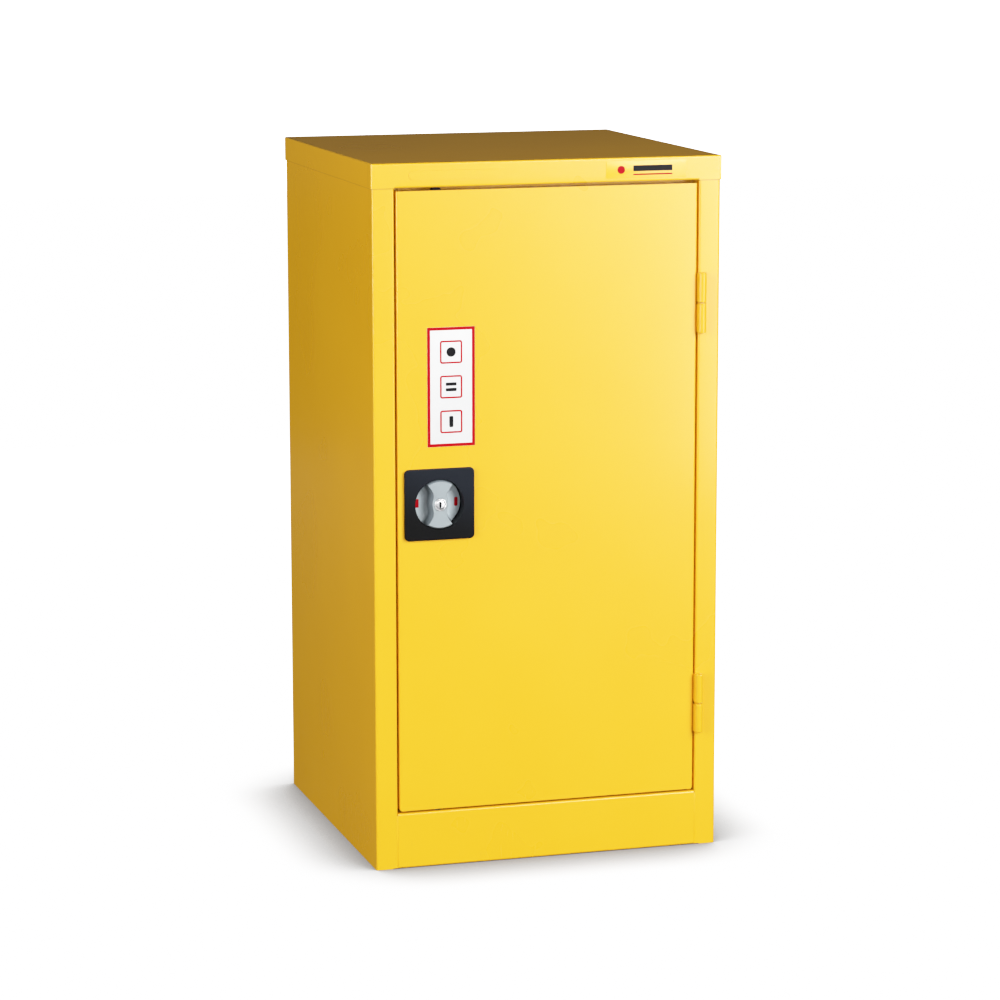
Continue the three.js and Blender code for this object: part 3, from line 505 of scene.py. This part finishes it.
# ---------------------------------------------------------------- carcass


def ground_weld(side):
    """Weld between the rail's end and the folded edge of a stile, ground nearly flush."""
    lo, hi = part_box("bottom_rail")
    end = hi.x if side > 0 else lo.x
    reach = 2.3 * MM
    sunk, sheet = 0.25 * MM, 1.2 * MM
    off_floor, below_fold = 1 * MM, 2.6 * MM
    start = min(end, end + side * reach)
    weld = slab(
        Vector((start, lo.y + sunk, lo.z + off_floor)),
        Vector((start + reach, lo.y + sheet, hi.z - below_fold)),
        edge=0.1 * MM,
    )
    name = "right_rail_weld" if side > 0 else "left_rail_weld"
    return piece(name, weld, "yellow_powder_coat", "carcass")


# ---------------------------------------------------------------- hinges


def hinge_half(node):
    """Rolled barrel with rounded ends and the leaf that is welded into the door gap."""
    lo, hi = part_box(node)
    axis = middle(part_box("upper_hinge_pin"))
    radius = axis.y - lo.y
    wall = 1.95 * MM
    bore = radius - wall
    easing = 1.3 * MM
    inner = radius - easing
    leaf_sheet, leaf_inset = 1.6 * MM, 1 * MM
    bottom = arc((inner, lo.z + easing), easing, -90, 0)
    top = arc((inner, hi.z - easing), easing, 0, 90)
    profile = [(bore, lo.z), *bottom, *top, (bore, hi.z)]
    barrel = revolved(profile, Vector((axis.x, axis.y, 0)), Vector((0, 0, 1)))
    leaf = slab(
        Vector((lo.x, axis.y, lo.z + leaf_inset)),
        Vector((lo.x + leaf_sheet, hi.y, hi.z - leaf_inset)),
        corner=0.5 * MM, axis=2,
    )
    whole = gathered(barrel, leaf)
    return flattened(piece(node + "_rolled", whole, "yellow_powder_coat", BODY_OF[node], [node]))


# ---------------------------------------------------------------- lock

LOCK_AXIS = Vector((0, 1, 0))


def around_lock(y):
    return Vector((LOCK_X, y, LOCK_Z))


def grip_half_width(share):
    """Half the hourglass grip's width in mm, at a share of the way from its middle to its end."""
    slimmest, swell, spread, growth = 8.6, 0.9, 6.9, 1.45
    waist = 0.47
    if abs(share) < waist:
        return slimmest + swell * (1 + cos(pi * share / waist))
    return slimmest + spread * ((abs(share) - waist) / (1 - waist)) ** growth


def grip_outline(y, flare, reach, side_steps=14, end_steps=8):
    """The grip's outline at y: flare is what its sides have spread, reach its ends' radius."""
    end_half = grip_half_width(1) * MM + flare
    end_z = sqrt(reach ** 2 - end_half ** 2)

    def half_width(share):
        return grip_half_width(share) * MM + flare

    def side(sign):
        shares = [sign * (-1 + 2 * i / side_steps) for i in range(side_steps + 1)]
        return [(sign * half_width(share), share * end_z) for share in shares]

    def end(sign):
        spread = atan2(end_half, end_z)
        shares = [2 * i / end_steps - 1 for i in range(1, end_steps)]
        angles = [sign * (pi / 2) + spread * share for share in shares]
        return [(reach * cos(angle), reach * sin(angle)) for angle in angles]

    points = side(1) + end(1) + side(-1) + end(-1)
    return [around_lock(y) + Vector((x, 0, z)) for x, z in points]


def on_circle(outline, y, radius):
    """The outline's points drawn in to a circle round the lock's axis."""
    moved = []
    for point in outline:
        angle = atan2(point.z - LOCK_Z, point.x - LOCK_X)
        moved.append(around_lock(y) + Vector((radius * cos(angle), 0, radius * sin(angle))))
    return moved


def grip(hole, rim):
    """Hourglass grip with drafted sides and a filleted foot, round the hole for the sleeve."""
    front = KNOB[0].y
    foot = DISH_Y + 0.3 * MM
    depth_flare_chamfer = [
        (0.0, -0.35, 2.0), (0.12, -0.1, 1.75), (0.4, 0.05, 1.5), (2.0, 0.4, 0.0), (8.0, 1.4, 0.0),
        (13.5, 2.3, 0.0), (16.2, 3.0, 0.0), (17.6, 3.8, 0.0), (18.5, 4.9, 0.0), (18.9, 6.2, 0.0),
    ]
    levels = [
        grip_outline(front + depth * MM, flare * MM, rim - chamfer * MM)
        for depth, flare, chamfer in depth_flare_chamfer
    ]
    foot_outline = [Vector((point.x, foot, point.z)) for point in levels[-1]]
    return lofted(
        [
            on_circle(levels[0], front, hole),
            *levels,
            foot_outline,
            on_circle(levels[-1], foot, hole),
        ],
        ring=True,
    )


def dish(hole, radius, back):
    """Disc behind the grip, with an eased rim and a shallow cavity round the hole."""
    easing = 0.8 * MM
    skin = 1 * MM
    cavity = hole + 1.3 * MM
    profile = [
        (hole, DISH_Y), (radius - easing, DISH_Y), (radius, DISH_Y + easing), (radius, back),
        (cavity, back), (cavity, DISH_Y + skin), (hole, DISH_Y + skin),
    ]
    return revolved(profile, around_lock(0), LOCK_AXIS, steps=96)


def shank(back):
    """What the CAD handle has behind the dish, closed where it is cut off."""
    bm = bmesh.new()
    bm.from_mesh(frame["nodes"]["turn_handle"].data)
    bmesh.ops.remove_doubles(bm, verts=bm.verts, dist=0.002 * MM)
    cut = bmesh.ops.bisect_plane(
        bm, geom=bm.verts[:] + bm.edges[:] + bm.faces[:],
        plane_co=around_lock(back), plane_no=LOCK_AXIS, clear_inner=True,
    )["geom_cut"]
    rims = [item for item in cut if isinstance(item, bmesh.types.BMEdge)]
    bmesh.ops.triangle_fill(bm, edges=rims, use_beauty=True, normal=-LOCK_AXIS)
    return bm


def turn_handle():
    """Grip, dish and shank, moulded in one."""
    radius = (KNOB[1].x - KNOB[0].x) / 2
    rim = radius - 0.4 * MM
    hole = (SLEEVE[1].x - SLEEVE[0].x) / 2 + 0.3 * MM
    back = DISH_Y + 2 * MM
    whole = gathered(grip(hole, rim), dish(hole, radius, back), shank(back))
    return flattened(
        piece("turn_handle_moulding", whole, "grey_plastic", "handle", ["turn_handle"])
    )


def cylinder_sleeve():
    """Chromed ring round the key plug, with a rounded front edge."""
    lo, hi = SLEEVE
    outer = (hi.x - lo.x) / 2
    inner = (PLUG[1].x - PLUG[0].x) / 2 + 0.3 * MM
    easing = 0.45 * MM
    lead = 0.25 * MM
    profile = [
        *arc((outer - easing, lo.y + easing), easing, -90, 0),
        (outer, hi.y), (inner, hi.y), (inner, lo.y + lead), (inner + lead, lo.y),
    ]
    ring = revolved(profile, around_lock(0), LOCK_AXIS)
    return piece("cylinder_sleeve_ring", ring, "chrome", "handle", ["cylinder_sleeve"])


def key_plug():
    """Plug with a domed face and its keyway, and the eccentric pin behind."""
    lo, hi = PLUG
    radius = (hi.x - lo.x) / 2
    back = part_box("lock_bolt")[0].y - 0.3 * MM
    steps = 48
    angles = [2 * pi * i / steps for i in range(steps)]

    def ring(y, size):
        return [around_lock(y) + Vector((size * cos(a), 0, size * sin(a))) for a in angles]

    def keyway(y, half_width, half_height):
        straight = half_height - half_width
        rises = [straight if a < pi else -straight for a in angles]
        return [
            around_lock(y) + Vector((half_width * cos(a), 0, half_width * sin(a) + rise))
            for a, rise in zip(angles, rises)
        ]

    half_width, half_height = 1.35 * MM, 4.0 * MM
    keyway_depth, lead = 5 * MM, 0.2 * MM
    depth_and_share_of_dome = [(0.12, 0.8), (0.35, 0.93), (0.8, 1.0)]
    dome = [ring(lo.y + depth * MM, share * radius) for depth, share in depth_and_share_of_dome]
    body = lofted(
        [
            keyway(lo.y + keyway_depth, half_width, half_height),
            keyway(lo.y + lead, half_width, half_height),
            keyway(lo.y, half_width + lead, half_height + lead),
            *dome,
            ring(back, radius),
        ]
    )
    pin_radius, throw, rooted = 1.25 * MM, 3 * MM, 1 * MM
    reach = hi.y - back + rooted
    pin = bmesh.new()
    side = throw * cos(pi / 4)
    bmesh.ops.create_cone(
        pin, cap_ends=True, segments=24, radius1=pin_radius, radius2=pin_radius, depth=reach,
        matrix=Matrix.Translation(around_lock(hi.y - reach / 2) + Vector((side, 0, -side)))
        @ Matrix.Rotation(pi / 2, 4, "X"),
    )
    return piece("key_plug_face", gathered(body, pin), "chrome", "key_plug", ["key_plug"])


def keyway_shade_block():
    """Black block just inside the mouth of the keyway: painted shade for the keyway's dark depth."""
    mouth = around_lock(PLUG[0].y + 0.6 * MM)
    half_width, half_height, length = 1.3, 3.9, 3.2
    # Painted shade: a black block stands in for the shadow inside the keyway.
    shade_block = slab(
        mouth + Vector((-half_width, 0, -half_height)) * MM,
        mouth + Vector((half_width, length, half_height)) * MM,
        corner=1.2 * MM,
    )
    return piece("keyway_shade_block", shade_block, "black_plastic", "key_plug")


def indicator(node):
    """Red pad with round corners, stuck to the dish."""
    lo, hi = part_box(node)
    pad = slab(lo, hi, corner=1.1 * MM, edge=0.07 * MM)
    return piece(node + "_pad", pad, "red_vinyl", "handle", [node])


# ---------------------------------------------------------------- labels


def printed(lo, hi, width, corner=0.0):
    """A printed frame: a block of ink, and an opening through it that leaves a rim of one width."""
    bm = slab(lo, hi, corner=corner)
    through = [face for face in bm.faces if abs(face.normal.y) > 0.99]
    bmesh.ops.inset_region(bm, faces=through, thickness=width, use_even_offset=True)
    rims = [edge for face in through for edge in face.edges]
    bmesh.ops.delete(bm, geom=through, context="FACES_ONLY")
    bmesh.ops.bridge_loops(bm, edges=rims)
    bmesh.ops.recalc_face_normals(bm, faces=bm.faces)
    return bm


INK = 0.06 * MM


def ink_box(x, z, half_width, half_height, y):
    """The lowest and the highest corner of a printed block of ink that starts at y."""
    lo = Vector((x - half_width, y, z - half_height))
    hi = Vector((x + half_width, y + INK, z + half_height))
    return lo, hi


def door_label():
    """White sticker with a red frame and three framed fields, each with a plain mark."""
    lo, hi = LABEL
    sheet_front = lo.y + INK
    sheet = slab(Vector((lo.x, sheet_front, lo.z)), hi, corner=0.3 * MM, edge=0.04 * MM)
    piece("door_label_sheet", sheet, "white_vinyl", "door", ["door_label"])

    x, z = middle(LABEL).x, middle(LABEL).z
    half = (hi - lo) / 2
    margin, border = 0.1 * MM, 3.7 * MM
    frames = [printed(*ink_box(x, z, half.x - margin, half.z - margin, lo.y), border)]
    pitch = 44 * MM
    field_half, field_line, field_corner = 14.5 * MM, 2.1 * MM, 3 * MM
    fields = [z + pitch * i for i in (1, 0, -1)]
    for place in fields:
        box = ink_box(x, place, field_half, field_half, lo.y)
        frames.append(printed(*box, field_line, field_corner))
    piece("door_label_red_print", gathered(*frames), "red_vinyl", "door")

    def mark(x_half, z_half, corner, place, shift=0.0):
        return slab(*ink_box(x, place + shift, x_half, z_half, lo.y), corner=corner)

    marks = [
        mark(6 * MM, 6 * MM, 5.9 * MM, fields[0]),
        mark(7 * MM, 2 * MM, 1 * MM, fields[1], 3.5 * MM),
        mark(7 * MM, 2 * MM, 1 * MM, fields[1], -3.5 * MM),
        mark(2.6 * MM, 7 * MM, 1.3 * MM, fields[2]),
    ]
    piece("door_label_dark_print", gathered(*marks), "black_ink", "door")


def cap_label():
    """Clear film with a plain dark bar, a thin red bar and a red dot."""
    lo, hi = CAP_LABEL
    film = slab(Vector((lo.x, lo.y + INK, lo.z)), hi, corner=2 * MM, edge=0.04 * MM)
    piece("cap_label_film", film, "clear_vinyl", "carcass", ["cap_label"])
    z = middle(CAP_LABEL).z
    bars, bar_half = lo.x + 62 * MM, 26 * MM
    dot, dot_radius = lo.x + 20 * MM, 5 * MM
    dark = slab(*ink_box(bars, z + 1.5 * MM, bar_half, 3.6 * MM, lo.y), corner=0.8 * MM)
    piece("cap_label_dark_bar", dark, "black_ink", "carcass")
    red = [
        slab(*ink_box(bars, z - 6.2 * MM, bar_half, 0.9 * MM, lo.y), corner=0.4 * MM),
        slab(*ink_box(dot, z, dot_radius, dot_radius, lo.y), corner=dot_radius - 0.05 * MM),
    ]
    piece("cap_label_red_print", gathered(*red), "red_vinyl", "carcass")


# ---------------------------------------------------------------- every piece

SMOOTHED = [
    "top_cap", "top_door_stop", "left_side_panel", "right_side_panel", "left_base_runner",
    "right_base_runner", "bottom_rail", "sump_pan", "upper_door_buffer", "lower_door_buffer",
    "front_left_upright", "front_right_upright", "rear_left_upright", "rear_right_upright",
    "shelf_tray", "shelf_stiffener", "door_skin", "door_top_channel", "door_bottom_channel",
    "door_stiffener", "top_rod_guide", "bottom_rod_guide", "upper_hinge_pin", "lower_hinge_pin",
    "upper_hinge_washer", "lower_hinge_washer", "lock_escutcheon", "rod_cam", "cam_washer",
    "cam_screw", "upper_rod", "lower_rod", "clamp_screw_1", "clamp_screw_2", "clamp_screw_3",
    "clamp_screw_4",
]
EASED = {"lock_escutcheon": 0.5 * MM, "rod_cam": 0.3 * MM, "top_cap": 0.35 * MM}

for name in SMOOTHED:
    dressed(name, edge=EASED.get(name, 0.0))
ground_weld(-1)
ground_weld(1)
for height in ("upper", "lower"):
    hinge_half(f"{height}_hinge_frame_half")
    hinge_half(f"{height}_hinge_door_half")
turn_handle()
cylinder_sleeve()
key_plug()
keyway_shade_block()
indicator("left_indicator")
indicator("right_indicator")
door_label()
cap_label()

for name, node in frame["nodes"].items():
    node.data.materials.clear()
    node.data.materials.append(FINISH[SLOT_OF[name]])

# ---------------------------------------------------------------- floor, light and camera


def floor():
    """Large pale floor: nearly white to the eye, though it throws little back on the cabinet."""
    half_side = 9
    gap = 0.2 * MM
    bm = bmesh.new()
    bmesh.ops.create_grid(bm, x_segments=1, y_segments=1, size=half_side)
    bmesh.ops.translate(bm, verts=bm.verts, vec=(0, 0, CAD_BOX[0].z - gap))
    mesh = bpy.data.meshes.new("floor")
    bm.to_mesh(mesh)
    bm.free()
    made = bpy.data.objects.new("floor", mesh)
    bpy.context.scene.collection.objects.link(made)
    mesh.materials.append(floor_paint())


def seen_as(tree, eye, others, output):
    """Sends one shader to the eye and another one to every other ray."""
    rays = tree.nodes.new("ShaderNodeLightPath")
    mix = tree.nodes.new("ShaderNodeMixShader")
    tree.links.new(rays.outputs["Is Camera Ray"], mix.inputs[0])
    tree.links.new(others.outputs[0], mix.inputs[1])
    tree.links.new(eye.outputs[0], mix.inputs[2])
    tree.links.new(mix.outputs[0], output.inputs["Surface"])


def floor_paint():
    """White that glows to the eye, with a painted shadow where it glows less under the cabinet's
    edges, and is dark to all else.
    """
    seen_white, unseen_white = 0.15, 0.07
    glow_strength = 1.9
    shadow_reach, shadow_depth = 0.13, 3.0
    material = bpy.data.materials.new("floor_paint")
    material.use_nodes = True
    nodes, links = material.node_tree.nodes, material.node_tree.links
    nodes.clear()
    output = nodes.new("ShaderNodeOutputMaterial")
    seen = nodes.new("ShaderNodeAddShader")
    white = nodes.new("ShaderNodeBsdfDiffuse")
    glow = nodes.new("ShaderNodeEmission")
    corner = nodes.new("ShaderNodeAmbientOcclusion")
    fade = nodes.new("ShaderNodeGamma")
    dim = nodes.new("ShaderNodeBsdfDiffuse")
    corner.inputs["Distance"].default_value = shadow_reach
    corner.samples = 16
    white.inputs["Color"].default_value = colour(seen_white, seen_white, seen_white)
    glow.inputs["Strength"].default_value = glow_strength
    dim.inputs["Color"].default_value = colour(unseen_white, unseen_white, unseen_white)
    fade.inputs["Gamma"].default_value = shadow_depth
    # Painted shadow: ambient occlusion dims the glow near the cabinet's base.
    links.new(corner.outputs["Color"], fade.inputs["Color"])
    links.new(fade.outputs["Color"], glow.inputs["Color"])
    links.new(white.outputs[0], seen.inputs[0])
    links.new(glow.outputs[0], seen.inputs[1])
    seen_as(material.node_tree, seen, dim, output)
    return material


def softbox(name, place, aim, size, power, shines=True):
    """A square light that the eye never sees, and that reflections show only where it shines."""
    data = bpy.data.lights.new(name, "AREA")
    data.shape = "SQUARE"
    data.size = size
    data.energy = power
    light = bpy.data.objects.new(name, data)
    light.location = place
    light.rotation_euler = (Vector(place) - Vector(aim)).to_track_quat("Z", "Y").to_euler()
    light.visible_camera = False
    light.visible_glossy = shines
    bpy.context.scene.collection.objects.link(light)


def studio():
    """White to the eye, with a large softbox on either side and small ones in front and behind."""
    even_strength, white_strength = 0.045, 3.0
    world = bpy.data.worlds.new("studio")
    bpy.context.scene.world = world
    world.use_nodes = True
    nodes = world.node_tree.nodes
    even = nodes["Background"]
    even.inputs["Strength"].default_value = even_strength
    even.inputs["Color"].default_value = colour(1, 1, 1)
    white = nodes.new("ShaderNodeBackground")
    white.inputs["Strength"].default_value = white_strength
    white.inputs["Color"].default_value = colour(1, 1, 1)
    seen_as(world.node_tree, white, even, nodes["World Output"])

    centre = (0, 0, 0.45)
    softbox("key", (1.95, -3.1, 1.75), centre, size=2.3, power=202)
    softbox("left_fill", (-3.2, -1.6, 1.2), centre, size=2.0, power=122)
    softbox("front_fill", (-0.8, -4.2, 1.3), centre, size=0.9, power=42)
    softbox("low_right", (1.5, -2.7, 0.35), centre, size=0.8, power=14)
    behind = 0.42
    softbox("back_fill", (0, 3.2, behind), (0, 0, behind), size=0.5, power=55, shines=False)


def camera():
    """Stands in front, a little to the left and above, and looks slightly down."""
    turn, tilt, lean = radians(-16.69), radians(10.217), radians(-0.067)
    data = bpy.data.cameras.new("camera")
    data.lens = 127.77
    data.sensor_width = 36
    made = bpy.data.objects.new("camera", data)
    door_face = PLATE[0].y + 2.8 * MM
    left, away, height = 1.33207, 4.22824, 1.26720
    place = Vector((-left, door_face - away, height))
    made.matrix_world = (
        Matrix.Translation(place)
        @ Matrix.Rotation(turn, 4, "Z")
        @ Matrix.Rotation(pi / 2 - tilt, 4, "X")
        @ Matrix.Rotation(lean, 4, "Z")
    )
    bpy.context.scene.collection.objects.link(made)
    bpy.context.scene.camera = made


def exposure():
    """Standard colours with a soft shoulder, so that bright paint goes pale before it clips."""
    white = 2.0
    shoulder = ((0.275, 0.56), (0.345, 0.66), (0.69, 0.945))
    settings = bpy.context.scene.view_settings
    settings.view_transform = "Standard"
    settings.use_curve_mapping = True
    mapping = settings.curve_mapping
    mapping.white_level = (white, white, white)
    curve = mapping.curves[3]
    curve.points[0].location = (0, 0)
    curve.points[1].location = (1, 1)
    for place in shoulder:
        curve.points.new(*place)
    mapping.update()


floor()
studio()
camera()
exposure()
